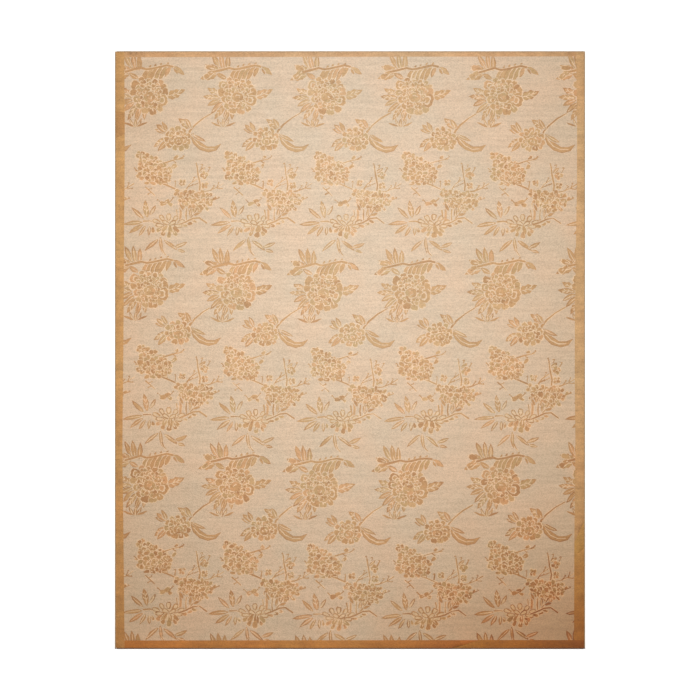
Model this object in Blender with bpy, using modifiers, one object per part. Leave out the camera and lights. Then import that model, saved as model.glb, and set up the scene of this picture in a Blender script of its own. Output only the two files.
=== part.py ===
"""Tibetan rug: a flat, hand-knotted wool rug, overcast with yarn along its sides and ends.

Metres, +Z up. The origin is the centre of the underside, on the floor. X runs across the
width and Y along the length, and the pile faces +Z.
"""

import bmesh
import bpy

# Overall size, over the overcast edging.
RUG_WIDTH = 2.40
RUG_LENGTH = 3.05

# The knotted body: a cotton web with the wool pile standing on it, all one cloth.
WEB_THICKNESS = 0.003
PILE_HEIGHT = 0.009
PILE_SHOULDER = 0.003
BODY_CORNER = 0.002

# The edging: yarn whipped round the outermost warps and round the turned ends.
EDGING_WIDTH = 0.006
EDGING_HEIGHT = 0.008
EDGING_CROWN = 0.0027
EDGING_FOOT = 0.0010

# Clearance between neighbouring pieces.
PIECE_GAP = 0.0003

# Steps in every rounded edge.
ROUNDING_STEPS = 4

BODY_WIDTH = RUG_WIDTH - 2 * (EDGING_WIDTH + PIECE_GAP)
BODY_LENGTH = RUG_LENGTH - 2 * (EDGING_WIDTH + PIECE_GAP)
BODY_THICKNESS = WEB_THICKNESS + PILE_HEIGHT

GREIGE_WOOL = (0.68, 0.50, 0.33)
TAN_WOOL = (0.48, 0.27, 0.10)


def clear_scene():
    """Remove whatever objects the file starts with."""
    for old in list(bpy.data.objects):
        bpy.data.objects.remove(old, do_unlink=True)


def wool(name, colour):
    """A matt wool finish of one colour."""
    material = bpy.data.materials.new(name)
    material.use_nodes = True
    shader = material.node_tree.nodes["Principled BSDF"]
    shader.inputs["Base Color"].default_value = (*colour, 1.0)
    shader.inputs["Roughness"].default_value = 0.95
    shader.inputs["Metallic"].default_value = 0.0
    return material


def block(name, size, centre_x, centre_y, material, collection):
    """A block of the given size that stands on the floor, with its mesh centred on the block."""
    bm = bmesh.new()
    bmesh.ops.create_cube(bm, size=1.0)
    bmesh.ops.scale(bm, vec=size, verts=bm.verts)
    mesh = bpy.data.meshes.new(name)
    bm.to_mesh(mesh)
    bm.free()
    mesh.materials.append(material)
    piece = bpy.data.objects.new(name, mesh)
    piece.location = (centre_x, centre_y, size[2] / 2)
    collection.objects.link(piece)
    return piece


def round_edges(piece, radius, share_of):
    """Round the edges for which share_of(one end, other end) gives a share of the radius above 0."""
    bm = bmesh.new()
    bm.from_mesh(piece.data)
    weight = bm.edges.layers.float.new("bevel_weight_edge")
    for edge in bm.edges:
        edge[weight] = share_of(*(corner.co for corner in edge.verts))
    bm.to_mesh(piece.data)
    bm.free()
    bevel = piece.modifiers.new("rounded edges", "BEVEL")
    bevel.limit_method = "WEIGHT"
    bevel.width = radius
    bevel.segments = ROUNDING_STEPS


def knotted_body(material, collection):
    """Field and border in one flat slab, with a soft shoulder where the pile leans out at the rim."""
    size = (BODY_WIDTH, BODY_LENGTH, BODY_THICKNESS)
    body = block("rug", size, 0.0, 0.0, material, collection)

    def shoulder_share(one, other):
        if one.z > 0 and other.z > 0:
            return 1.0
        if one.z != other.z:
            return BODY_CORNER / PILE_SHOULDER
        return 0.0

    round_edges(body, PILE_SHOULDER, shoulder_share)
    return body


def edging_bar(name, length, along, centre_x, centre_y, material, collection):
    """One straight run of overcasting: a crowned bar, flat below, along "X" or "Y"."""
    if along == "Y":
        size = (EDGING_WIDTH, length, EDGING_HEIGHT)
    else:
        size = (length, EDGING_WIDTH, EDGING_HEIGHT)
    bar = block(name, size, centre_x, centre_y, material, collection)

    def crown_share(one, other):
        runs_along = one.y != other.y if along == "Y" else one.x != other.x
        if not runs_along:
            return 0.0
        return 1.0 if one.z > 0 else EDGING_FOOT / EDGING_CROWN

    round_edges(bar, EDGING_CROWN, crown_share)
    return bar


def overcast_edging(material, collection):
    """Edging along both sides for the full length, and along both ends between the sides."""
    side_x = (RUG_WIDTH - EDGING_WIDTH) / 2
    end_y = (RUG_LENGTH - EDGING_WIDTH) / 2
    for name, sign in (("side_edging_left", -1), ("side_edging_right", 1)):
        edging_bar(name, RUG_LENGTH, "Y", sign * side_x, 0.0, material, collection)
    for name, sign in (("end_edging_lower", -1), ("end_edging_upper", 1)):
        edging_bar(name, BODY_WIDTH, "X", 0.0, sign * end_y, material, collection)


clear_scene()
rug_parts = bpy.data.collections.new("tibetan_rug")
bpy.context.scene.collection.children.link(rug_parts)
knotted_body(wool("greige knotted wool", GREIGE_WOOL), rug_parts)
overcast_edging(wool("tan edging yarn", TAN_WOOL), rug_parts)
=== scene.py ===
"""Tibetan rug, dressed: cotton web, knotted wool pile with its floral design, overcast edging.

Metres, +Z up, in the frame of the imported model. The pile faces up and the rug lies on the floor.
"""

import math
import random

import bmesh
import bpy
import numpy as np
from mathutils import Matrix, Vector, noise
from mathutils.bvhtree import BVHTree
from mathutils.geometry import delaunay_2d_cdt


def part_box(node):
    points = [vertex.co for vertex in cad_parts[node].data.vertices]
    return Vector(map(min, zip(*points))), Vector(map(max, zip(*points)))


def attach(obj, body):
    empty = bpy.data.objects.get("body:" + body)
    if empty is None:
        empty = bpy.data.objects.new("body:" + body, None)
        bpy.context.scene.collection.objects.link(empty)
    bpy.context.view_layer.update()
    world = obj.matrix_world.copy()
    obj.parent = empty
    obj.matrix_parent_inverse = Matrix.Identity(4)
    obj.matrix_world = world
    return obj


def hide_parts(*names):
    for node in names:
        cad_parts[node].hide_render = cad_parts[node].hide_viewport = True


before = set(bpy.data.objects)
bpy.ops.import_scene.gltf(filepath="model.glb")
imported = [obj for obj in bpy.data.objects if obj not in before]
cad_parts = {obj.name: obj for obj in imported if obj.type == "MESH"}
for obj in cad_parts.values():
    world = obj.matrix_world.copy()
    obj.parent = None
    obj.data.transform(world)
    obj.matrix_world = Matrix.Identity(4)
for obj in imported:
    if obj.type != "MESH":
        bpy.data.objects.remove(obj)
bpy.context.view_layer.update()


# ---------------------------------------------------------------------------------------------
# Cotton web. The warps and wefts that the knots are tied on, beaten down hard, with the ends
# turned under. It lies flat on the floor and carries the pile. Unbleached cotton, with the
# knots' wool collars showing through on the underside.
# ---------------------------------------------------------------------------------------------

MM = 0.001
WEB_THICKNESS = 3 * MM
WEB_EASING = 0.6 * MM
KNOT_PITCH_ACROSS = 3.6 * MM
KNOT_PITCH_ALONG = 3.4 * MM
WAVE_SPACING = 2 * math.pi / 20  # between the bands of a wave texture whose scale is 1

body_low, body_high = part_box("rug")


def linear(hex_colour):
    """An sRGB hex colour, such as "#E3C7AA", as linear RGBA."""
    parts = [int(hex_colour[i : i + 2], 16) / 255 for i in (1, 3, 5)]
    return (*[p / 12.92 if p <= 0.04045 else ((p + 0.055) / 1.055) ** 2.4 for p in parts], 1.0)


def add(tree, kind, settings=None, **inputs):
    """Add a node of that kind. Inputs go by name with _ for a space, or as in_0, in_1 by place."""
    node = tree.nodes.new(kind)
    for key, value in (settings or {}).items():
        setattr(node, key, value)
    for key, value in inputs.items():
        socket = node.inputs[int(key[3:])] if key.startswith("in_") else node.inputs[key.replace("_", " ")]
        if isinstance(value, bpy.types.NodeSocket):
            tree.links.new(value, socket)
        else:
            socket.default_value = value
    return node


def new_material(name):
    """An empty node material and its Principled shader, linked to the output."""
    material = bpy.data.materials.new(name)
    material.use_nodes = True
    material.node_tree.nodes.clear()
    shader = add(material.node_tree, "ShaderNodeBsdfPrincipled")
    add(material.node_tree, "ShaderNodeOutputMaterial", Surface=shader.outputs["BSDF"])
    return material, material.node_tree, shader


def new_piece(name, mesh, material, slot, *nodes_replaced):
    """Link a finished mesh as a piece of the rug, riding on the root. The slot is not used."""
    piece = bpy.data.objects.new(name, mesh)
    bpy.context.scene.collection.objects.link(piece)
    mesh.materials.clear()
    mesh.materials.append(material)
    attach(piece, "root")
    if nodes_replaced:
        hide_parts(*nodes_replaced)
    return piece


def web_mesh():
    """The web as a closed slab, with its arrises eased and its underside flat on the floor."""
    bm = bmesh.new()
    bmesh.ops.create_cube(bm, size=1.0)
    size = Vector((body_high.x - body_low.x, body_high.y - body_low.y, WEB_THICKNESS))
    bmesh.ops.scale(bm, vec=size, verts=bm.verts)
    bmesh.ops.translate(bm, vec=(0, 0, WEB_THICKNESS / 2), verts=bm.verts)
    bmesh.ops.bevel(bm, geom=bm.edges[:], offset=WEB_EASING, segments=2, affect="EDGES")
    mesh = bpy.data.meshes.new("cotton_web")
    bm.to_mesh(mesh)
    bm.free()
    return mesh


def cotton_web_material():
    """Beaten cotton with wool knot collars: matt, ribbed along the wefts, faintly soiled."""
    material, tree, shader = new_material("beaten_cotton_web")
    place = add(tree, "ShaderNodeTexCoord").outputs["Object"]
    rows = add(tree, "ShaderNodeTexWave", {"bands_direction": "Y"}, Vector=place,
               Scale=WAVE_SPACING / KNOT_PITCH_ALONG, Distortion=1.2, Detail=1.0)
    cords = add(tree, "ShaderNodeTexWave", {"bands_direction": "X"}, Vector=place,
                Scale=WAVE_SPACING / KNOT_PITCH_ACROSS, Distortion=0.8, Detail=1.0)
    relief = add(tree, "ShaderNodeMath", {"operation": "MULTIPLY"},
                 in_0=rows.outputs["Fac"], in_1=cords.outputs["Fac"])
    soil = add(tree, "ShaderNodeTexNoise", Vector=place, Scale=1 / (111 * MM), Detail=4.0)
    tone = add(tree, "ShaderNodeMix", {"data_type": "RGBA"}, Factor=soil.outputs["Fac"],
               A=linear("#D8C6A6"), B=linear("#C4A97F"))
    bump = add(tree, "ShaderNodeBump", Height=relief.outputs["Value"], Strength=0.6, Distance=0.8 * MM)
    tree.links.new(tone.outputs["Result"], shader.inputs["Base Color"])
    tree.links.new(bump.outputs["Normal"], shader.inputs["Normal"])
    shader.inputs["Roughness"].default_value = 0.95
    return material


web = new_piece("cotton_web", web_mesh(), cotton_web_material(), "knotted_wool")


# ---------------------------------------------------------------------------------------------
# Knotted pile. Wool cut to 9 mm, tied knot by knot in rows across the rug: a greige field with
# sprays of gold flowers outlined in cream, inside a plain tan border. Every face of the sheet
# carries the number of its yarn, so the design is part of the cloth, as the weaver tied it.
# ---------------------------------------------------------------------------------------------

PILE_TOP = body_high.z
PILE_SHOULDER = 3 * MM        # radius of the rounding at the rim
PILE_UNEVENNESS = 0.5 * MM    # either way, over swells about PILE_SWELL wide
PILE_SWELL = 320 * MM
PILE_GRID = 28 * MM
KNOT = np.array((KNOT_PITCH_ACROSS, KNOT_PITCH_ALONG))

# The border's depth in mm past the edging, as the weaver held it from the upper end to the lower.
LEFT_BORDER = (44, 46, 42, 39, 34, 40, 45)
RIGHT_BORDER = (41, 35, 43, 50, 45, 51, 52)
UPPER_BORDER = (27, 25, 23)
LOWER_BORDER = (39, 40, 41)
# Where a side of the border changes to another dye lot: at its outer and its inner edge, in metres.
LEFT_BAND_LOW = (1.08, 1.1)
LEFT_BAND_HIGH = (1.214, 1.212)
RIGHT_LOW_START = -0.87
RIGHT_END_START = (-1.01, -1.05)
LOWER_RIGHT_START = (0.52, 0.66)

# The sprays repeat across and along the rug, drawn from the middle of the upper left flower head.
# Lower rows bow towards the left and the lower end, the last is set higher, and each spray wanders.
REPEAT_ACROSS = 452 * MM
REPEAT_ALONG = 990 * MM
FIRST_PEONY = np.array((-1034, 1314)) * MM
SPRAY_ROWS = 4
SPRAY_COLUMNS = 7             # the first and last are cut off by the border
BOW = np.array((34, 24)) * MM
LAST_ROW_RISE = 22 * MM
WANDER = 5 * MM
# The field's corners: a shape that lies wholly outside them would be under the border.
FIELD_LOW = np.array((body_low.x + 30 * MM, body_low.y + 39 * MM))
FIELD_HIGH = np.array((body_high.x - 33 * MM, body_high.y - 23 * MM))

# The sprays are drawn in mm.
OUTLINE = 3.4                 # of ground yarn or cream round each leaf, petal and stem: one knot
LINE = 3.6                    # of tan yarn that draws a petal's or leaf's edge: one knot
FILLED_FROM = 15              # width of leaf from which there is room for a gold filling,
VEINED_FROM = 28              # for side veins
TOOTHED_FROM = 30             # and for a toothed edge
LAYERED_FROM = 40             # size of petal from which a smaller one is drawn inside it
FIVE_PETALS_FROM = 23         # radius of blossom from which it has five petals and not four

# The dyed skeins. Gold and tan come in several dye lots, and the weaver took them as they came.
SKEINS = {
    "greige": "#DDC2A6",
    "cream": "#E9CAA8",
    "tan": "#CA9C6C",
    "brown": "#C09163",
    "gold": "#CDA171",
    "olive": "#C9A475",
    "straw": "#D2AA7B",
    "pale": "#E4C6A2",
    "peach": "#D7A779",
    # The upper border's skein is paler and greyer and the lower border's darker and more orange: partly
    # dye, partly painted sheen along the upper end and painted shade along the lower.
    "upper_border": "#D3A475",
    "left_border": "#D1A268",
    "right_border": "#D5AC7C",
    "right_border_low": "#D2A96B",
    "right_border_end": "#D2A76B",
    "left_border_band": "#C09059",
    "lower_border": "#CD904B",
    "lower_border_right": "#CA984E",
}
SKEIN_NUMBER = {name: number for number, name in enumerate(SKEINS)}

# The weaver's hand: everything that varies is drawn from it, in painting order.
hand = random.Random(7)


def fill():
    """A gold yarn, from whichever dye lot comes to hand."""
    return hand.choice(("gold", "gold", "straw", "olive", "peach"))


def line():
    """A tan yarn for drawing an edge."""
    return hand.choice(("tan", "tan", "brown"))


def petal_yarn():
    """A petal's yarn, gold more often than tan."""
    return fill() if hand.random() < 0.7 else line()


def each(kind, *places):
    """One kind of drawing at each of its places, in painting order."""
    return [patch for place in places for patch in kind(*place)]


def pointing(turn):
    """A step of 1 mm in the direction of that many degrees."""
    return np.array((math.cos(math.radians(turn)), math.sin(math.radians(turn))))


def turned(outline, x, y, turn):
    """An outline in mm, turned by degrees and moved to (x, y)."""
    ahead = pointing(turn)
    return np.asarray(outline, float) @ (ahead, (-ahead[1], ahead[0])) + (x, y)


def grown(outline, by):
    """A counterclockwise outline moved outwards by that many mm, or inwards where it is negative."""
    along = np.roll(outline, -1, axis=0) - np.roll(outline, 1, axis=0)
    out = np.column_stack((along[:, 1], -along[:, 0]))
    return outline + by * out / np.maximum(np.linalg.norm(out, axis=1), 1e-6)[:, None]


def spine(t, length, bend):
    """The middle of a leaf at shares t of its length, from (0, 0) along +X and bent aside."""
    return np.column_stack((t * length, bend * length * t * t))


def about_spine(t, half, length, bend):
    """A leaf's outline, that half width to either side of its middle."""
    aside = np.column_stack((0 * t, half))
    return np.vstack((spine(t, length, bend) - aside, (spine(t, length, bend) + aside)[-2::-1]))


def blade(length, width, bend=0.0):
    """A pointed leaf's outline from (0, 0) along +X, bent aside by a share of its length."""
    t = np.array((0.0, 0.2, 0.48, 0.78, 1.0))
    return about_spine(t, width / 2 * np.array((0.16, 0.8, 1.0, 0.66, 0.0)), length, bend)


def toothed(length, width, bend):
    """A broad leaf's outline like blade's, with a toothed edge."""
    t = np.linspace(0.0, 1.0, 8)
    teeth = 1.0 + 0.13 * (-1.0) ** np.arange(8)
    return about_spine(t, width / 2 * np.sin(math.pi * t ** 0.8) * teeth + 1.2 * (1 - t), length, bend)


def lobe(length, width):
    """A blunt petal's outline, centred on (0, 0), with its root towards -X."""
    return np.array(((-0.5, -0.2), (-0.1, -0.46), (0.28, -0.46), (0.5, -0.18), (0.44, 0.04), (0.5, 0.24),
                     (0.24, 0.48), (-0.12, 0.44), (-0.5, 0.2))) * (length, width)


def ribbon(points, width, tip=0.35):
    """A stem's outline along a few points, thinner towards its tip."""
    route = np.asarray(points, float)
    along = np.gradient(route, axis=0)
    side = np.column_stack((-along[:, 1], along[:, 0])) / np.linalg.norm(along, axis=1)[:, None]
    half = width / 2 * np.linspace(1.0, tip, len(route))[:, None]
    return np.vstack((route - side * half, (route + side * half)[::-1]))


def leaf(x, y, length, width, turn, bend=0.0, edge=OUTLINE, solid=False):
    """A leaf drawn with a tan line and filled with gold, its midrib and veins cream unless solid."""
    turn += hand.uniform(-3, 3)
    outline = toothed if width > TOOTHED_FROM else blade
    shape = turned(outline(length, width, bend), x, y, turn)
    drawn = [("greige", grown(shape, edge)), (line(), shape)]
    if width > FILLED_FROM:
        drawn.append((fill(), turned(blade(length * 0.86, width - 1.7 * LINE, bend), x, y, turn)))
    if width > FILLED_FROM and not solid:
        midrib = ribbon(spine(np.array((0.08, 0.45, 0.84)), length, bend), LINE * 1.2)
        drawn.append(("cream", turned(midrib, x, y, turn)))
    if width > VEINED_FROM and not solid:
        for t, side in ((0.34, 1), (0.28, -1), (0.58, 1), (0.52, -1)):
            vein = turned(blade(length * 0.26, LINE * 1.3), t * length, bend * length * t * t, side * 34)
            drawn.append(("cream", turned(vein, x, y, turn)))
    return drawn


def open_leaf(x, y, length, width, turn, bend=0.0):
    """A slender leaf in outline: a tan line round a paler yarn."""
    turn += hand.uniform(-3, 3)
    yarn = hand.choice(("tan", "brown", "brown"))
    return [("greige", turned(blade(length, width + 2 * OUTLINE, bend), x, y, turn)),
            (yarn, turned(blade(length, width, bend), x, y, turn)),
            ("pale", turned(blade(length * 0.84, width - 2.4 * LINE, bend), x, y, turn))]


def petal(x, y, length, width, turn):
    """A blunt petal centred on (x, y), edged in cream but for its root, which joins what lies behind."""
    length *= hand.uniform(0.85, 1.2)
    width *= hand.uniform(0.85, 1.2)
    turn += hand.uniform(-12, 12)
    tip = pointing(turn)
    shape = turned(lobe(length, width), x, y, turn)
    shape += [(hand.uniform(-1.4, 1.4), hand.uniform(-1.4, 1.4)) for _ in shape]
    drawn = [("cream", grown(shape, 0.8 * OUTLINE) + 0.8 * OUTLINE * tip), (petal_yarn(), shape)]
    if min(length, width) > LAYERED_FROM:
        middle = np.array((x, y)) - 0.1 * length * tip
        inner = middle - 0.07 * length * tip
        drawn += [("cream", turned(lobe(0.66 * length, 0.66 * width), *middle, turn)),
                  (fill(), turned(lobe(0.56 * length, 0.44 * width), *inner, turn))]
    elif hand.random() < 0.75:
        root = np.array((x, y)) - 0.45 * length * tip
        crease = ((0, -2), (0.3 * length, -2.8), (0.6 * length, 0), (0.3 * length, 2.8), (0, 2))
        drawn.append((hand.choice(("brown", "cream")), turned(crease, *root, turn)))
    return drawn


def open_petal(x, y, length, width, turn):
    """A petal in outline: a tan line round a paler yarn."""
    shape = turned(lobe(length, width), x, y, turn)
    return [("greige", grown(shape, 1.5)), (line(), shape), ("pale", grown(shape, -1.4 * LINE))]


def stem(points, width=5.5, tip=0.45):
    """A tan stem with a cream edge."""
    shape = ribbon(points, width, tip)
    return [("cream", grown(shape, OUTLINE * 0.8)), (line(), shape)]


def ground(yarn, *corners):
    """A patch of one yarn that a flower head is worked on, given by its corners."""
    return [(yarn, np.array(corners, float))]


def blossom(x, y, radius, turn):
    """A small open flower: four or five lapping petals, on a patch that joins it to its neighbours."""
    petals = 5 if radius > FIVE_PETALS_FROM else 4
    patch = np.array([pointing(a) for a in range(0, 360, 60)])
    drawn = [(fill(), patch * radius * 0.9 + (x, y))]
    for k in range(petals):
        a = turn + 360 * k / petals + hand.uniform(-18, 18)
        at = (x, y) + radius * hand.uniform(0.5, 0.66) * pointing(a)
        drawn += petal(*at, radius * 0.92, radius * 0.86, a)
    return drawn + [("cream", turned(lobe(radius * 0.28, radius * 0.28), x, y, turn))]


def twig(x, y, length, turn):
    """A bare twig with a hooked tip."""
    a = math.radians(turn)
    tip = (x + length * math.cos(a), y + length * math.sin(a))
    hook = (tip[0] - 0.3 * length * math.cos(a - 1.0), tip[1] - 0.3 * length * math.sin(a - 1.0))
    return [(line(), ribbon([(x, y), tip], 5.0, 0.8)), (line(), ribbon([tip, hook], 4.2, 0.8))]


def bloom(x, y, across, up):
    """A flower's heart about (x, y): a ring of five curved petals round a single one."""
    drawn = []
    for count, inner, outer in ((5, 0.5, 1.0), (1, 0.0, 0.45)):
        start = hand.uniform(0, 2 * math.pi)
        step = 2 * math.pi / count
        for k in range(count):
            middle = start + (k + hand.uniform(-0.15, 0.15)) * step
            half = 0.5 * step * hand.uniform(0.9, 1.15)
            thin = hand.uniform(0.0, 0.08)
            corners = ((inner + 0.04, -1.0), (outer - 0.06 - thin, -1.0), (outer - thin, -0.55),
                       (outer + 0.03, 0.05), (outer - thin, 0.6), (outer - 0.07, 1.0),
                       (inner + 0.05, 1.0), (inner, 0.5), (inner + 0.03, -0.1), (inner, -0.5))
            shape = np.array([(x + r * math.cos(middle + side * half) * across / 2,
                               y + r * math.sin(middle + side * half) * up / 2) for r, side in corners])
            aside = OUTLINE * np.array((math.cos(middle) - 0.8 * math.sin(middle),
                                        math.sin(middle) + 0.8 * math.cos(middle)))
            drawn += [("cream", shape + 1.2 * aside), (petal_yarn(), shape)]
    return drawn


def peony_spray():
    """The large flower head with its leaves, under a hood of hanging petals and an arching stem."""
    # Upright leaves behind the hood, two broad ones reaching left, and a loose bud beyond those.
    drawn = each(leaf, (-76, 120, 94, 28, 122, -0.08), (-62, 116, 92, 28, 105, -0.08),
                 (-44, 112, 84, 28, 86, 0.04), (-84, 104, 84, 36, 150, 0.1), (-92, 94, 92, 38, 188, 0.14))
    drawn += each(petal, (-130, 126, 44, 28, 164), (-128, 100, 40, 22, 200), (-148, 84, 34, 26, 214))
    # The hood's petals hang from the arching stem, which has small leaves on top and two at its end.
    for x, y, length in ((0, 116, 66), (24, 120, 78), (48, 126, 86), (72, 130, 92), (96, 132, 88),
                         (116, 130, 58)):
        drawn += [("cream", turned(blade(length + 3, 30, 0.16), x, y, 234))]
        drawn += leaf(x, y, length, 22, 234, 0.16, solid=True)[1:]
    drawn += each(leaf, (6, 122, 22, 10, 62), (34, 128, 22, 10, 66), (62, 134, 22, 10, 60),
                  (92, 138, 22, 10, 48))
    drawn += stem([(-118, 104), (-74, 116), (-34, 126), (-6, 118), (22, 122), (62, 132), (98, 138),
                   (126, 132), (148, 120)], 11, 0.9)
    drawn += leaf(132, 130, 68, 26, -32, -0.06, solid=True) + leaf(132, 122, 34, 12, -58)
    # Leaves about the head: at its left shoulder, on its right, and a fan from its left down to its foot.
    drawn += each(leaf, (-50, 72, 54, 26, 156, -0.1), (92, -22, 104, 44, 12, 0.12),
                  (-78, -14, 78, 36, 156, -0.1), (-82, -26, 86, 30, 176), (-80, -38, 72, 28, 198, 0.1),
                  (-68, -50, 82, 26, 216, 0.1), (-54, -62, 94, 30, 231, 0.08),
                  (-36, -74, 84, 28, 248, 0.05), (-16, -82, 56, 22, 268))
    drawn += stem([(-46, -100), (-54, -120), (-62, -148)], 6, 0.8)
    # The head: a gold ground, petals round its rim, lapping blossoms inside them, and the heart.
    drawn += ground("gold", (-62, 44), (-34, 64), (40, 56), (72, 46), (92, 12), (94, -50), (60, -88),
                    (0, -98), (-40, -80), (-66, -30))
    drawn += each(petal, (-66, 38, 44, 44, 165), (-30, 62, 30, 26, 120), (4, 54, 30, 26, 95),
                  (36, 52, 30, 26, 85), (64, 48, 32, 26, 50), (78, 24, 36, 34, 25), (-74, 0, 38, 36, 190),
                  (88, 4, 28, 46, 10), (-44, 20, 30, 26, 140), (-56, -34, 36, 34, 200),
                  (-42, -66, 34, 32, 225), (-14, -92, 32, 40, 255), (26, -96, 32, 42, 275),
                  (62, -82, 34, 34, 305), (76, -40, 52, 62, -10))
    for x, y, radius in ((-22, 42, 20), (8, 34, 18), (38, 28, 20), (-38, 0, 20), (54, 4, 18), (-8, 8, 18),
                         (46, -26, 19), (-36, -36, 18), (-16, -60, 20), (28, -66, 20)):
        drawn += blossom(x, y, radius, 30 * x)
    drawn += bloom(8, -24, 60, 52)
    # A tuft of slender leaves under the head.
    drawn += leaf(-64, -176, 44, 17, 90, 0, 2)
    drawn += each(open_leaf, (-58, -176, 50, 16, 46, 0.3), (-70, -176, 50, 16, 134, -0.3))
    drawn += each(leaf, (-54, -172, 58, 11, 16, 0.1, 2), (-74, -172, 58, 11, 164, -0.1, 2))
    return drawn


def side_spray():
    """The small flower lying to the right, whose stem climbs to the next large one."""
    drawn = stem([(206, -222), (214, -196), (240, -166), (284, -130), (336, -100)], 11, 0.4)
    drawn += each(leaf, (226, -178, 84, 40, 158, -0.16), (216, -182, 56, 24, 112, 0.1),
                  (208, -214, 70, 34, -34, 0.05))
    # The long hooked leaf, and the leaves to the right and left of the head.
    hook = np.array(((216, -222), (232, -262), (264, -292), (308, -306), (348, -296), (374, -262),
                     (340, -274), (304, -274), (268, -252), (240, -214)))
    drawn += [("greige", grown(hook, OUTLINE)), ("brown", hook), ("gold", grown(hook, -0.8 * LINE)),
              ("cream", ribbon([(234, -238), (262, -270), (300, -288), (338, -286)], 1.3 * LINE, 0.8))]
    drawn += each(leaf, (226, -214, 78, 20, -34, 0.12), (90, -204, 56, 20, 168, -0.1),
                  (92, -202, 62, 28, 142), (96, -198, 56, 22, 112, 0.1), (94, -236, 76, 30, 206, 0.12),
                  (98, -246, 72, 28, 228))
    # The head, made as the large one is.
    drawn += ground("gold", (108, -206), (140, -190), (190, -200), (208, -232), (196, -268), (150, -282),
                    (108, -262))
    drawn += each(petal, (104, -212, 28, 24, 160), (126, -194, 26, 24, 120), (154, -188, 28, 26, 95),
                  (182, -196, 28, 26, 60), (204, -222, 26, 30, 20), (204, -252, 28, 28, -20),
                  (98, -240, 26, 26, 180), (110, -266, 28, 26, 215), (138, -282, 26, 30, 255),
                  (170, -282, 26, 30, 280), (196, -274, 24, 24, 310))
    for x, y, radius in ((130, -218, 20), (164, -214, 20), (184, -240, 19), (128, -250, 19)):
        drawn += blossom(x, y, radius, 30 * x)
    return drawn + bloom(156, -248, 50, 42)


def blossom_branch():
    """Two heads of small blossoms on one branch, with buds and twigs reaching up and right."""
    drawn = stem([(40, -452), (96, -472), (150, -496), (196, -530)], 7, 0.7)
    # The left head, on the branch's upper end.
    drawn += stem([(-30, -402), (-66, -400)], 6) + twig(-56, -398, 20, 130)
    drawn += each(blossom, (-34, -322, 24, 50), (-4, -336, 24, 10), (28, -344, 22, 40), (-24, -362, 24, 0),
                  (6, -376, 24, 30), (58, -366, 20, 60), (82, -372, 17, 20), (-32, -424, 25, 50),
                  (-2, -408, 25, 0), (12, -440, 24, 30), (36, -386, 26, 10), (40, -424, 26, 60),
                  (72, -386, 26, 40), (76, -422, 26, 70), (100, -404, 24, 0), (56, -450, 20, 20),
                  (100, -434, 20, 30))
    drawn += each(petal, (-6, -462, 26, 16, 10), (26, -464, 26, 16, -10), (84, -456, 24, 16, 0),
                  (134, -376, 26, 18, 40), (-40, -388, 24, 20, 160))
    # Twigs and a bud to the left head's right, then those along the branch and the stems that rise from it.
    drawn += stem([(84, -360), (128, -346), (182, -336)])
    drawn += petal(144, -330, 22, 16, 30) + each(twig, (160, -340, 30, 30), (126, -346, 22, -40))
    drawn += stem([(196, -520), (198, -490), (214, -466), (252, -440)], 6)
    drawn += each(twig, (138, -484, 34, 84), (204, -482, 30, 20), (226, -458, 30, 62), (236, -470, 34, 24),
                  (100, -474, 30, 96), (74, -466, 24, 80))
    drawn += stem([(262, -500), (266, -470), (256, -420), (250, -372)], 8, 0.6)
    drawn += each(twig, (252, -384, 26, 100), (266, -404, 40, 70), (300, -412, 36, 60))
    drawn += leaf(262, -408, 40, 18, 40)
    drawn += stem([(262, -508), (310, -502), (350, -486), (388, -462)], 6)
    drawn += each(twig, (318, -500, 34, 50), (350, -486, 30, -8), (352, -484, 28, 66))
    # The right head, at the branch's lower end, with a few blossoms out on its stems.
    drawn += each(blossom, (156, -512, 22, 20), (184, -530, 26, 0), (222, -522, 25, 36),
                  (258, -532, 25, 10), (292, -536, 25, 50), (206, -560, 27, 5), (244, -564, 27, 30),
                  (282, -566, 25, 15), (226, -590, 21, 40), (262, -592, 20, 0), (314, -558, 21, 30),
                  (288, -422, 20, 10), (290, -474, 17, 50), (174, -460, 17, 40), (172, -560, 20, 30))
    drawn += each(petal, (276, -510, 26, 17, 80), (318, -524, 24, 16, 30), (190, -506, 24, 18, 110),
                  (340, -540, 22, 14, 40), (176, -584, 24, 16, 200), (300, -592, 22, 15, -40))
    return drawn + twig(334, -548, 34, 20)


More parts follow.
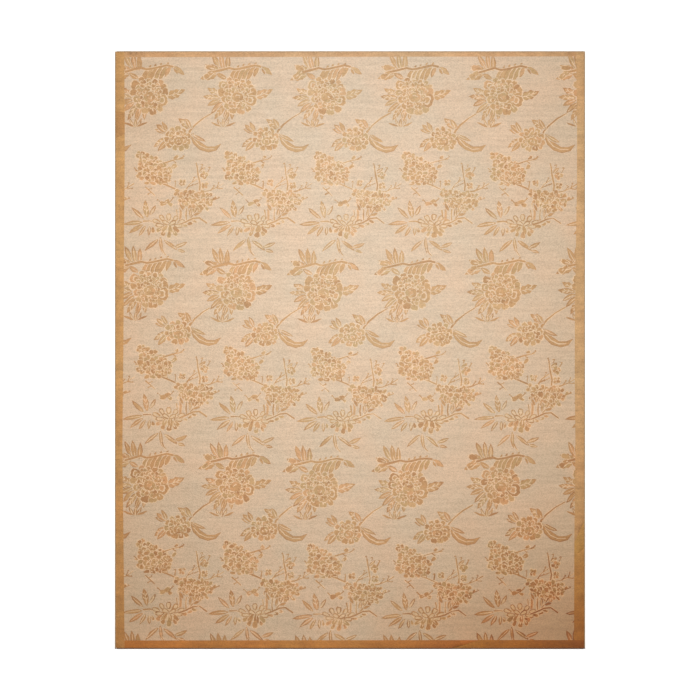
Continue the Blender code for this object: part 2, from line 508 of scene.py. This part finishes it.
def lotus_spray():
    """An open lotus from the side, with leaves bursting from its left, upright stems and a low branch."""
    # A twig to the upper left of the flower, and a small bud with two twigs above it.
    drawn = stem([(-12, -482), (10, -500), (36, -526)], 5, 0.8)
    drawn += each(twig, (2, -494, 22, 20), (20, -508, 24, 205))
    drawn += each(petal, (98, -556, 34, 22, 20), (78, -566, 30, 22, 190), (112, -570, 24, 16, -30))
    drawn += each(twig, (66, -562, 24, 130), (112, -556, 28, 44))
    # The upright stems that join the branch above to the flower, one of them thick and pale.
    drawn += stem([(146, -596), (150, -626), (156, -658)], 5.5, 0.8)
    thick = ribbon([(164, -658), (167, -612), (164, -560)], 11.0, 0.9)
    drawn += [("cream", grown(thick, 0.8 * OUTLINE)), ("peach", thick)]
    drawn += stem([(196, -652), (194, -626), (197, -592)], 6, 0.8)
    drawn += stem([(214, -644), (232, -622), (252, -590)], 6, 0.8)
    drawn += each(leaf, (180, -600, 40, 15, 118), (214, -632, 44, 16, 84), (232, -626, 38, 14, 20))
    # The burst of leaves on the flower's left.
    drawn += each(leaf, (-4, -636, 90, 30, 100), (-24, -640, 82, 22, 142, -0.08),
                  (-30, -662, 102, 23, 184, 0.06), (-26, -674, 84, 22, 212, 0.05),
                  (-12, -682, 60, 18, 238))
    drawn += each(open_leaf, (8, -684, 46, 18, 268), (10, -624, 58, 19, 52, 0.12))
    drawn += stem([(-24, -656), (12, -654), (44, -664)], 6, 0.9)
    # The flower: upper petals in outline on a pale ground, then a lower row of filled ones.
    drawn += ground("pale", (26, -668), (46, -650), (100, -636), (150, -644), (180, -664), (168, -692),
                    (136, -710), (80, -710), (44, -692))
    drawn += each(open_petal, (42, -656, 42, 24, 160), (72, -640, 38, 26, 120), (106, -634, 36, 28, 88),
                  (140, -642, 36, 26, 52), (170, -658, 38, 24, 14), (60, -676, 44, 24, 176),
                  (92, -664, 40, 24, 150), (124, -666, 42, 24, 30), (154, -680, 44, 24, -4))
    drawn += each(petal, (58, -698, 34, 20, 208), (84, -694, 38, 20, 240), (114, -698, 42, 24, 272),
                  (144, -700, 34, 20, 322), (78, -718, 26, 18, 240), (108, -724, 32, 24, 265),
                  (138, -718, 26, 18, 300))
    # The low branch to the right, with its buds, and a fallen petal under the flower.
    drawn += stem([(158, -672), (193, -660), (229, -642), (262, -638), (302, -666)], 8, 0.7)
    drawn += each(petal, (186, -678, 26, 14, -8), (214, -668, 22, 13, 20), (236, -656, 22, 12, -20),
                  (26, -700, 24, 14, 280))
    return drawn


def leaf_fan():
    """Slender leaves hanging below the lotus, and a small pair to their right."""
    drawn = each(leaf, (52, -750, 90, 20, 215, 0.1), (64, -738, 84, 18, 268, 0.16))
    drawn += stem([(72, -796), (80, -816), (94, -832)], 5, 0.7)
    return drawn + each(leaf, (82, -754, 90, 20, -34, -0.06), (138, -788, 68, 20, 16, 0.1),
                        (150, -802, 44, 16, -14))


def border():
    """The plain border as patches: each side's inner edge wanders as woven, and its skeins change."""
    west, east, south, north = body_low.x, body_high.x, body_low.y, body_high.y
    left_high, left_low = north - UPPER_BORDER[0] * MM, south + LOWER_BORDER[0] * MM
    right_high, right_low = north - UPPER_BORDER[-1] * MM, south + LOWER_BORDER[-1] * MM
    left = [(west + depth * MM, y)
            for depth, y in zip(LEFT_BORDER, np.linspace(left_high, left_low, len(LEFT_BORDER)))]
    right = [(east - depth * MM, y)
             for depth, y in zip(RIGHT_BORDER, np.linspace(right_high, right_low, len(RIGHT_BORDER)))]
    upper_middle = (0, north - UPPER_BORDER[1] * MM)
    lower_middle = (0, south + LOWER_BORDER[1] * MM)
    upper_left, upper_right = (left[0][0], north), (right[0][0], north)
    lower_left, lower_right = (left[-1][0], south), (right[-1][0], south)
    patches = (
        ("left_border", [(west, north), upper_left, *left, lower_left, (west, south)]),
        ("right_border", [(east, south), lower_right, *reversed(right), upper_right, (east, north)]),
        ("right_border_low", [(east, south), lower_right, right[-1], right[-2], (east, RIGHT_LOW_START)]),
        ("right_border_end", [(east, south), lower_right, right[-1], (right[-2][0], RIGHT_END_START[1]),
                              (east, RIGHT_END_START[0])]),
        ("left_border_band", [(west, LEFT_BAND_LOW[0]), (left[1][0], LEFT_BAND_LOW[1]),
                              (left[1][0], LEFT_BAND_HIGH[1]), (west, LEFT_BAND_HIGH[0])]),
        ("upper_border", [upper_left, left[0], upper_middle, right[0], upper_right]),
        ("lower_border", [lower_left, lower_right, right[-1], lower_middle, left[-1]]),
        ("lower_border_right", [(LOWER_RIGHT_START[0], south), (east, south), (east, right[-1][1]),
                                (LOWER_RIGHT_START[1], right[-1][1])]))
    return [(skein, np.array(patch)) for skein, patch in patches]


def whole_design():
    """Every (yarn, outline in metres) on the rug, in painting order: later ones cover earlier ones."""
    shapes = []
    for row in range(SPRAY_ROWS):
        for column in range(-1, SPRAY_COLUMNS - 1):
            bow = min(row, 2) / 2 * max(0.0, math.sin(math.pi * (column - 0.5) / 4))
            at = FIRST_PEONY + (column * REPEAT_ACROSS, -row * REPEAT_ALONG) - bow * BOW
            if row == SPRAY_ROWS - 1:
                at += (0, LAST_ROW_RISE)
            at += (hand.uniform(-WANDER, WANDER), hand.uniform(-WANDER, WANDER))
            spray = peony_spray() + side_spray() + blossom_branch() + lotus_spray() + leaf_fan()
            for yarn, outline in spray:
                shape = np.round((outline * MM + at) / KNOT) * KNOT
                if (shape.max(axis=0) > FIELD_LOW).all() and (shape.min(axis=0) < FIELD_HIGH).all():
                    shapes.append((yarn, shape))
    return shapes + border()


LAYER = 0.1 * MM              # between one shape and the next, when they are stacked to be seen
OVERHEAD = Vector((0, 0, 9))  # well above the whole stack
DOWN = Vector((0, 0, -1))
WELD = 0.1 * MM               # corners nearer than this become one
STRAIGHT = math.radians(4)    # a seam that turns by less than this loses its corner


def on_body(point):
    """Whether a point in plan lies on the knotted body."""
    return body_low.x < point.x < body_high.x and body_low.y < point.y < body_high.y


def middle_of(plan, triangle):
    """The centre of a triangle in plan."""
    return (plan[triangle[0]] + plan[triangle[1]] + plan[triangle[2]]) / 3


def laid_out():
    """The shapes stacked a hair apart in painting order: (corners, outlines, yarn numbers, search tree)."""
    corners, outlines, yarns = [], [], []
    for layer, (yarn, outline) in enumerate(whole_design()):
        outlines.append(list(range(len(corners), len(corners) + len(outline))))
        corners += [Vector((x, y, layer * LAYER)) for x, y in outline]
        yarns.append(SKEIN_NUMBER[yarn])
    return corners, outlines, yarns, BVHTree.FromPolygons(corners, outlines)


def yarns_seen(plan, triangles, yarns, stack):
    """The yarn that lies on top at each triangle's centre."""
    seen = []
    for triangle in triangles:
        hit = stack.ray_cast(middle_of(plan, triangle).to_3d() + OVERHEAD, DOWN)[2]
        seen.append(SKEIN_NUMBER["greige"] if hit is None else yarns[hit])
    return seen


def seams(plan, triangles, yarns):
    """The lines in plan where one yarn meets another, straightened: (points, pairs of point numbers)."""
    sides = {}
    for triangle, yarn in zip(triangles, yarns):
        for a, b in zip(triangle, triangle[1:] + triangle[:1]):
            sides.setdefault((min(a, b), max(a, b)), []).append(yarn)
    meeting = {}
    for (a, b), met in sides.items():
        if len(met) == 2 and met[0] != met[1] and (on_body(plan[a]) or on_body(plan[b])):
            meeting.setdefault(a, set()).add(b)
            meeting.setdefault(b, set()).add(a)
    for corner in list(meeting):
        if len(meeting[corner]) != 2:
            continue
        a, b = meeting[corner]
        turn = (plan[a] - plan[corner]).angle(plan[corner] - plan[b], 0.0)
        if b not in meeting[a] and turn < STRAIGHT:
            del meeting[corner]
            meeting[a].remove(corner)
            meeting[b].remove(corner)
            meeting[a].add(b)
            meeting[b].add(a)
    number = {corner: n for n, corner in enumerate(meeting)}
    pairs = [(number[a], number[b]) for a in meeting for b in meeting[a] if a < b]
    return [plan[corner] for corner in meeting], pairs


def pile_height(p):
    """The pile's height at a point in plan: a little uneven, and rounded down at the rim."""
    edge = min(p.x - body_low.x, body_high.x - p.x, p.y - body_low.y, body_high.y - p.y)
    lean = max(0.0, 1 - edge / PILE_SHOULDER)
    drop = PILE_SHOULDER * (1 - math.sqrt(max(0.0, 1 - lean * lean)))
    return PILE_TOP - drop - PILE_UNEVENNESS * (1 + noise.noise(Vector((p.x, p.y, 0)) / PILE_SWELL))


def pile_mesh():
    """The pile's sheet: the patches of yarn and an even grid cut into one surface, bent down at the rim."""
    corners, outlines, yarns, stack = laid_out()
    edges = [pair for outline in outlines for pair in zip(outline, outline[1:] + outline[:1])]
    plan, _, triangles, _, _, _ = delaunay_2d_cdt([c.xy for c in corners], edges, [], 0, WELD, False)
    points, pairs = seams(plan, triangles, yarns_seen(plan, triangles, yarns, stack))

    # The even grid, then four rings close to the rim that round its shoulder off.
    low = Vector(body_low.xy)
    size = Vector(body_high.xy) - low
    across, along = round(size.x / PILE_GRID), round(size.y / PILE_GRID)
    for i in range(1, across):
        for j in range(1, along):
            points.append(low + Vector((size.x * i / across, size.y * j / along)))
    for degrees in (0, 30, 60, 90):
        inset = PILE_SHOULDER * (1 - math.cos(math.radians(degrees)))
        ring_low, ring = low + Vector((inset, inset)), size - Vector((2 * inset, 2 * inset))
        for i in range(across + 1):
            points += [ring_low + Vector((ring.x * i / across, y)) for y in (0, ring.y)]
        for j in range(1, along):
            points += [ring_low + Vector((x, ring.y * j / along)) for x in (0, ring.x)]
    cut, _, pieces, _, _, _ = delaunay_2d_cdt(points, pairs, [], 0, WELD, False)
    pieces = [p for p in pieces if on_body(middle_of(cut, p))]
    worn = yarns_seen(cut, pieces, yarns, stack)
    mesh = bpy.data.meshes.new("wool_pile")
    mesh.from_pydata([(p.x, p.y, pile_height(p)) for p in cut], [], pieces)
    mesh.attributes.new("yarn", "FLOAT", "FACE").data.foreach_set(
        "value", [(number + 0.5) / len(SKEINS) for number in worn])
    mesh.shade_smooth()
    bm = bmesh.new()
    bm.from_mesh(mesh)
    bmesh.ops.delete(bm, geom=[v for v in bm.verts if not v.link_faces], context="VERTS")
    bm.to_mesh(mesh)
    bm.free()
    return mesh


# Heights on the rug, in metres, where the wool is palest and darkest, and how the darkening is made up:
# painted shade where the light fell off, towards the lower end, the sides and the lower right corner,
# with some dye drift at the lower end.
PALEST_AT = 1.02
DARKEST_AT = -1.38
DYE_DEPTH = 0.87
DARKER_DOWN_DYE_AND_SHADE = 0.32
DARKER_ASIDE_SHADE = 0.16
DARKER_IN_CORNER_DYE_AND_SHADE = 0.55


def pile_material():
    """Cut highland wool: tufts with the soft lustre of fibre ends, its dyes drifting row by row, with
    painted shade towards the lower end, the sides and between the tufts.
    """
    material, tree, shader = new_material("cut_highland_wool_pile")
    place = add(tree, "ShaderNodeTexCoord").outputs["Object"]
    yarn = add(tree, "ShaderNodeAttribute", {"attribute_name": "yarn"}).outputs["Fac"]
    shelf = add(tree, "ShaderNodeValToRGB", in_0=yarn)
    ramp = shelf.color_ramp
    ramp.interpolation = "CONSTANT"
    while len(ramp.elements) < len(SKEINS):
        ramp.elements.new(0.5)
    for number, colour in enumerate(SKEINS.values()):
        ramp.elements[number].position = number / len(SKEINS)
        ramp.elements[number].color = linear(colour)

    # Painted light and shade, with some dye drift: the wool is palest about the upper middle, where the
    # light fell brightest, and darker towards the lower end, most of all on the right, and towards both
    # sides, where it fell off. depth = DYE_DEPTH + a down^2 + b across^2 + c right down^8, with a, b and c
    # the three shares above in turn, where down goes from 0 to 1 between the two heights, and across and
    # right are metres from the middle.
    where = add(tree, "ShaderNodeSeparateXYZ", Vector=place).outputs
    down = add(tree, "ShaderNodeMapRange", Value=where["Y"],
               From_Min=PALEST_AT, From_Max=DARKEST_AT).outputs["Result"]
    right = add(tree, "ShaderNodeMath", {"operation": "MAXIMUM"}, in_0=where["X"], in_1=0.0)
    down_2, down_8, across_2 = (
        add(tree, "ShaderNodeMath", {"operation": "POWER"}, in_0=base, in_1=power).outputs["Value"]
        for base, power in ((down, 2.0), (down, 8.0), (where["X"], 2.0)))
    corner = add(tree, "ShaderNodeMath", {"operation": "MULTIPLY"},
                 in_0=right.outputs["Value"], in_1=down_8).outputs["Value"]
    depth = DYE_DEPTH
    for part, share in ((down_2, DARKER_DOWN_DYE_AND_SHADE), (across_2, DARKER_ASIDE_SHADE), (corner, DARKER_IN_CORNER_DYE_AND_SHADE)):
        depth = add(tree, "ShaderNodeMath", {"operation": "MULTIPLY_ADD"},
                    in_0=part, in_1=share, in_2=depth).outputs["Value"]
    colour = add(tree, "ShaderNodeGamma", Color=shelf.outputs["Color"], Gamma=depth).outputs["Color"]

    # Each row of knots takes up dye a little differently, so faint streaks run across the rug, thirteen
    # times as long as they are wide. Wide drifts between dye lots and fine wear lie over them, and the
    # plain border is blotched. Tufts are drawn a knot and a half wide, each a tone apart, with painted
    # shade in the gaps between them and painted light on their crowns: finer ones would be lost.
    rows = add(tree, "ShaderNodeMapping", Vector=place, Scale=(1.0, 13.0, 1.0)).outputs["Vector"]
    flattened = add(tree, "ShaderNodeMapping", Vector=place, Scale=(0.8, 1.3, 1.0)).outputs["Vector"]
    streaks = add(tree, "ShaderNodeTexNoise", Vector=rows, Scale=1 / (227 * MM), Detail=5.0, Roughness=0.6)
    lots = add(tree, "ShaderNodeTexNoise", Vector=place, Scale=1 / (238 * MM), Detail=3.0, Roughness=0.5)
    wear = add(tree, "ShaderNodeTexNoise", Vector=flattened, Scale=1 / (16.7 * MM), Detail=3.0,
               Roughness=0.6)
    tufts = add(tree, "ShaderNodeTexVoronoi", Vector=flattened, Scale=1 / (1.5 * KNOT_PITCH_ACROSS))
    patches = add(tree, "ShaderNodeTexNoise", Vector=flattened, Scale=1 / (83.3 * MM), Detail=5.0,
                  Roughness=0.7)
    centred = add(tree, "ShaderNodeMath", {"operation": "SUBTRACT"}, in_0=patches.outputs["Fac"], in_1=0.5)
    bordered = add(tree, "ShaderNodeMath", {"operation": "GREATER_THAN"},
                   in_0=yarn, in_1=SKEIN_NUMBER["upper_border"] / len(SKEINS))
    blotches = add(tree, "ShaderNodeMath", {"operation": "MULTIPLY_ADD"},
                   in_0=centred.outputs["Value"], in_1=bordered.outputs["Value"], in_2=0.5)
    # Each pattern tints the wool between two colours, reached at the ends of the range given with it.
    # The last, by distance from each tuft's middle, is painted shade in the gaps and painted light on the
    # crowns.
    for pattern, lowest, highest, thin, rich in (
            (blotches.outputs["Value"], 0.36, 0.64, (0.88, 0.85, 0.82, 1), (1.12, 1.14, 1.16, 1)),
            (streaks.outputs["Fac"], 0.32, 0.68, (0.915, 0.91, 0.895, 1), (1.06, 1.055, 1.05, 1)),
            (lots.outputs["Fac"], 0.36, 0.64, (0.955, 0.985, 0.98, 1), (1.035, 1.0, 0.965, 1)),
            (wear.outputs["Fac"], 0.3, 0.7, (0.97, 0.97, 0.965, 1), (1.04, 1.04, 1.04, 1)),
            (tufts.outputs["Color"], 0.2, 0.8, (0.975, 0.97, 0.96, 1), (1.035, 1.035, 1.045, 1)),
            (tufts.outputs["Distance"], 0.8, 0.25, (0.895, 0.884, 0.872, 1), (1.077, 1.077, 1.077, 1))):
        share = add(tree, "ShaderNodeMapRange", Value=pattern, From_Min=lowest, From_Max=highest)
        tint = add(tree, "ShaderNodeMix", {"data_type": "RGBA"}, Factor=share.outputs["Result"],
                   A=thin, B=rich)
        mixed = add(tree, "ShaderNodeMix", {"data_type": "RGBA", "blend_type": "MULTIPLY"}, Factor=1.0,
                    A=colour, B=tint.outputs["Result"])
        colour = mixed.outputs["Result"]
    tree.links.new(colour, shader.inputs["Base Color"])

    # Each tuft stands up rounded from the gaps about it, and the nap of fibre ends lies over them all.
    nap = add(tree, "ShaderNodeTexNoise", Vector=place, Scale=1 / (3.8 * MM), Detail=3.0)
    rounded = add(tree, "ShaderNodeMath", {"operation": "POWER"}, in_0=tufts.outputs["Distance"], in_1=2.0)
    height = add(tree, "ShaderNodeMath", {"operation": "MULTIPLY_ADD"},
                 in_0=rounded.outputs["Value"], in_1=-1.5, in_2=nap.outputs["Fac"])
    bump = add(tree, "ShaderNodeBump", Height=height.outputs["Value"], Strength=0.6, Distance=1.4 * MM)
    tree.links.new(bump.outputs["Normal"], shader.inputs["Normal"])
    shader.inputs["Roughness"].default_value = 0.66
    shader.inputs["Sheen Weight"].default_value = 0.12
    shader.inputs["Sheen Roughness"].default_value = 0.5
    return material


pile = new_piece("wool_pile", pile_mesh(), pile_material(), "knotted_wool", "rug")


# ---------------------------------------------------------------------------------------------
# Overcast edging. Wool yarn wound closely round the outermost cords of all four sides, to hold
# the knots in: undyed wool on three sides, and dark brown along the lower end, where the edge shows
# darkest. Each turn lies against the last, and its foot is pressed flat by the floor.
# ---------------------------------------------------------------------------------------------

TURN_PITCH = 3.4 * MM
YARN_RADIUS = 2.3 * MM
STEPS_PER_TURN = 8
YARN_SIDES = 5


def overcasting(material):
    """Geometry Nodes that wind yarn round a straight edge along +Y, flattened where it touches z = 0."""
    tree = bpy.data.node_groups.new("overcasting", "GeometryNodeTree")
    tree.interface.new_socket("Geometry", in_out="OUTPUT", socket_type="NodeSocketGeometry")
    for name in ("Length", "Width", "Height", "Pitch", "Yarn"):
        tree.interface.new_socket(name, in_out="INPUT", socket_type="NodeSocketFloat")
    given = add(tree, "NodeGroupInput").outputs

    # A coil of unit radius, as long as the edge less the yarn at both ends, with a turn to each pitch.
    run = add(tree, "ShaderNodeMath", {"operation": "MULTIPLY_ADD"},
              in_0=given["Yarn"], in_1=-2.0, in_2=given["Length"]).outputs["Value"]
    turns = add(tree, "ShaderNodeMath", {"operation": "DIVIDE"}, in_0=run, in_1=given["Pitch"])
    coil = add(tree, "GeometryNodeCurveSpiral", Resolution=STEPS_PER_TURN, Rotations=turns.outputs["Value"],
               Start_Radius=1.0, End_Radius=1.0, Height=run)

    # Squashed to the cords' width and height, and laid along the edge with its foot on the floor.
    half_width = add(tree, "ShaderNodeMath", {"operation": "DIVIDE"}, in_0=given["Width"], in_1=2.0)
    across = add(tree, "ShaderNodeMath", {"operation": "SUBTRACT"},
                 in_0=half_width.outputs["Value"], in_1=given["Yarn"])
    above = add(tree, "ShaderNodeMath", {"operation": "SUBTRACT"}, in_0=given["Height"], in_1=given["Yarn"])
    up = add(tree, "ShaderNodeMath", {"operation": "DIVIDE"}, in_0=above.outputs["Value"], in_1=2.0)
    size = add(tree, "ShaderNodeCombineXYZ", X=across.outputs["Value"], Y=up.outputs["Value"], Z=1.0)
    squashed = add(tree, "GeometryNodeTransform", Geometry=coil.outputs["Curve"],
                   Scale=size.outputs["Vector"])
    back = add(tree, "ShaderNodeMath", {"operation": "DIVIDE"}, in_0=run, in_1=-2.0)
    start = add(tree, "ShaderNodeCombineXYZ", Y=back.outputs["Value"], Z=up.outputs["Value"])
    laid = add(tree, "GeometryNodeTransform", Geometry=squashed.outputs["Geometry"],
               Translation=start.outputs["Vector"], Rotation=(-math.pi / 2, 0.0, 0.0))

    # The yarn itself, pressed flat wherever it would pass through the floor.
    round_yarn = add(tree, "GeometryNodeCurvePrimitiveCircle", Resolution=YARN_SIDES, Radius=given["Yarn"])
    wound = add(tree, "GeometryNodeCurveToMesh", Curve=laid.outputs["Geometry"],
                Profile_Curve=round_yarn.outputs["Curve"])
    place = add(tree, "GeometryNodeInputPosition").outputs["Position"]
    where = add(tree, "ShaderNodeSeparateXYZ", Vector=place)
    above_floor = add(tree, "ShaderNodeMath", {"operation": "MAXIMUM"}, in_0=where.outputs["Z"], in_1=0.0)
    pressed = add(tree, "ShaderNodeCombineXYZ", X=where.outputs["X"], Y=where.outputs["Y"],
                  Z=above_floor.outputs["Value"])
    flat = add(tree, "GeometryNodeSetPosition", Geometry=wound.outputs["Mesh"],
               Position=pressed.outputs["Vector"])
    smooth = add(tree, "GeometryNodeSetShadeSmooth", Geometry=flat.outputs["Geometry"])
    real = add(tree, "GeometryNodeRealizeInstances", Geometry=smooth.outputs["Geometry"])
    dyed = add(tree, "GeometryNodeSetMaterial", Geometry=real.outputs["Geometry"], Material=material)
    add(tree, "NodeGroupOutput", Geometry=dyed.outputs["Geometry"])
    return tree


def overcast_mesh(tree, node_name):
    """The yarn wound round one edge, as a plain mesh that fills that edge's box."""
    low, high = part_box(node_name)
    size = high - low
    endways = size.x > size.y
    holder = bpy.data.objects.new("winding", bpy.data.meshes.new("winding"))
    bpy.context.scene.collection.objects.link(holder)
    modifier = holder.modifiers.new("overcasting", "NODES")
    modifier.node_group = tree
    sizes = {"Length": max(size.x, size.y), "Width": min(size.x, size.y), "Height": size.z,
             "Pitch": TURN_PITCH, "Yarn": YARN_RADIUS}
    for socket in tree.interface.items_tree:
        if socket.name in sizes:
            modifier[socket.identifier] = sizes[socket.name]
    bpy.context.view_layer.update()
    evaluated = holder.evaluated_get(bpy.context.evaluated_depsgraph_get())
    mesh = bpy.data.meshes.new_from_object(evaluated)
    bpy.data.objects.remove(holder)
    if endways:
        mesh.transform(Matrix.Rotation(math.pi / 2, 4, "Z"))
    mesh.transform(Matrix.Translation(((low.x + high.x) / 2, (low.y + high.y) / 2, 0)))
    mesh.name = node_name
    return mesh


def edging_yarn_material():
    """Plied wool yarn, matt and fuzzy: undyed along the sides and upper end, dark brown along the lower."""
    material, tree, shader = new_material("plied_wool_edging_yarn")
    place = add(tree, "ShaderNodeTexCoord").outputs["Object"]
    lots = add(tree, "ShaderNodeTexNoise", Vector=place, Scale=1 / (200 * MM), Detail=4.0, Roughness=0.6)
    share = add(tree, "ShaderNodeMapRange", Value=lots.outputs["Fac"], From_Min=0.3, From_Max=0.7)
    pale = add(tree, "ShaderNodeMix", {"data_type": "RGBA"}, Factor=share.outputs["Result"],
               A=linear("#C4A98A"), B=linear("#D3B898"))
    along = add(tree, "ShaderNodeSeparateXYZ", Vector=place).outputs["Y"]
    lower_end = add(tree, "ShaderNodeMath", {"operation": "LESS_THAN"},
                    in_0=along, in_1=body_low.y + 1 * MM)
    tone = add(tree, "ShaderNodeMix", {"data_type": "RGBA"}, Factor=lower_end.outputs["Value"],
               A=pale.outputs["Result"], B=linear("#6E4526"))
    fuzz = add(tree, "ShaderNodeTexNoise", Vector=place, Scale=1 / (1.4 * MM), Detail=2.0)
    bump = add(tree, "ShaderNodeBump", Height=fuzz.outputs["Fac"], Strength=0.4, Distance=0.4 * MM)
    tree.links.new(tone.outputs["Result"], shader.inputs["Base Color"])
    tree.links.new(bump.outputs["Normal"], shader.inputs["Normal"])
    shader.inputs["Roughness"].default_value = 0.8
    return material


edging_yarn = edging_yarn_material()
winding = overcasting(edging_yarn)
for side in ("side_edging_left", "side_edging_right", "end_edging_lower", "end_edging_upper"):
    yarn_mesh = overcast_mesh(winding, side)
    new_piece(side + "_yarn", yarn_mesh, edging_yarn, "edging_yarn", side)


# ---------------------------------------------------------------------------------------------
# Studio. A white floor with white walls all round, a large soft lamp overhead, a little towards
# the rug's upper end, and the camera looking straight down.
# ---------------------------------------------------------------------------------------------

FLOOR_REACH = 40
LAMP_WIDTH = 1.6
LAMP_POWER = 197
LAMP_PLACE = (-0.13, 0.55, 4.7)
LENS = 85.0
SENSOR = 36.0
VIEW_WIDTH = 3.566            # across the camera's view, at the height of the pile

floor_mesh = bpy.data.meshes.new("floor")
floor_corners = [(x * FLOOR_REACH, y * FLOOR_REACH, 0) for x, y in ((-1, -1), (1, -1), (1, 1), (-1, 1))]
floor_mesh.from_pydata(floor_corners, [], [(0, 1, 2, 3)])
floor = bpy.data.objects.new("floor", floor_mesh)
bpy.context.scene.collection.objects.link(floor)
floor_material, _, floor_shader = new_material("white_floor")
floor_shader.inputs["Base Color"].default_value = linear("#F4F4F2")
floor_shader.inputs["Roughness"].default_value = 0.9
floor_shader.inputs["Emission Color"].default_value = (1, 1, 1, 1)
floor_shader.inputs["Emission Strength"].default_value = 0.5
floor_mesh.materials.append(floor_material)

lamp = bpy.data.lights.new("overhead", "AREA")
lamp.shape = "DISK"
lamp.size = LAMP_WIDTH
lamp.energy = LAMP_POWER
lamp_object = bpy.data.objects.new("overhead", lamp)
lamp_object.location = LAMP_PLACE
bpy.context.scene.collection.objects.link(lamp_object)

# White walls all round and a dim ceiling, so the lamp alone shades the rug.
world = bpy.data.worlds.new("studio")
world.use_nodes = True
towards = add(world.node_tree, "ShaderNodeTexCoord").outputs["Generated"]
rise = add(world.node_tree, "ShaderNodeSeparateXYZ", Vector=towards).outputs["Z"]
walls = add(world.node_tree, "ShaderNodeMapRange", Value=rise, From_Min=0.1, From_Max=0.5,
            To_Min=0.95, To_Max=0.1)
background = world.node_tree.nodes["Background"]
background.inputs["Color"].default_value = (1, 1, 1, 1)
world.node_tree.links.new(walls.outputs["Result"], background.inputs["Strength"])
bpy.context.scene.world = world
bpy.context.scene.view_settings.view_transform = "Standard"

camera_data = bpy.data.cameras.new("camera")
camera_data.lens = LENS
camera_data.sensor_width = SENSOR
camera = bpy.data.objects.new("camera", camera_data)
camera.location = (0, 0, PILE_TOP + VIEW_WIDTH * LENS / SENSOR)
bpy.context.scene.collection.objects.link(camera)
bpy.context.scene.camera = camera
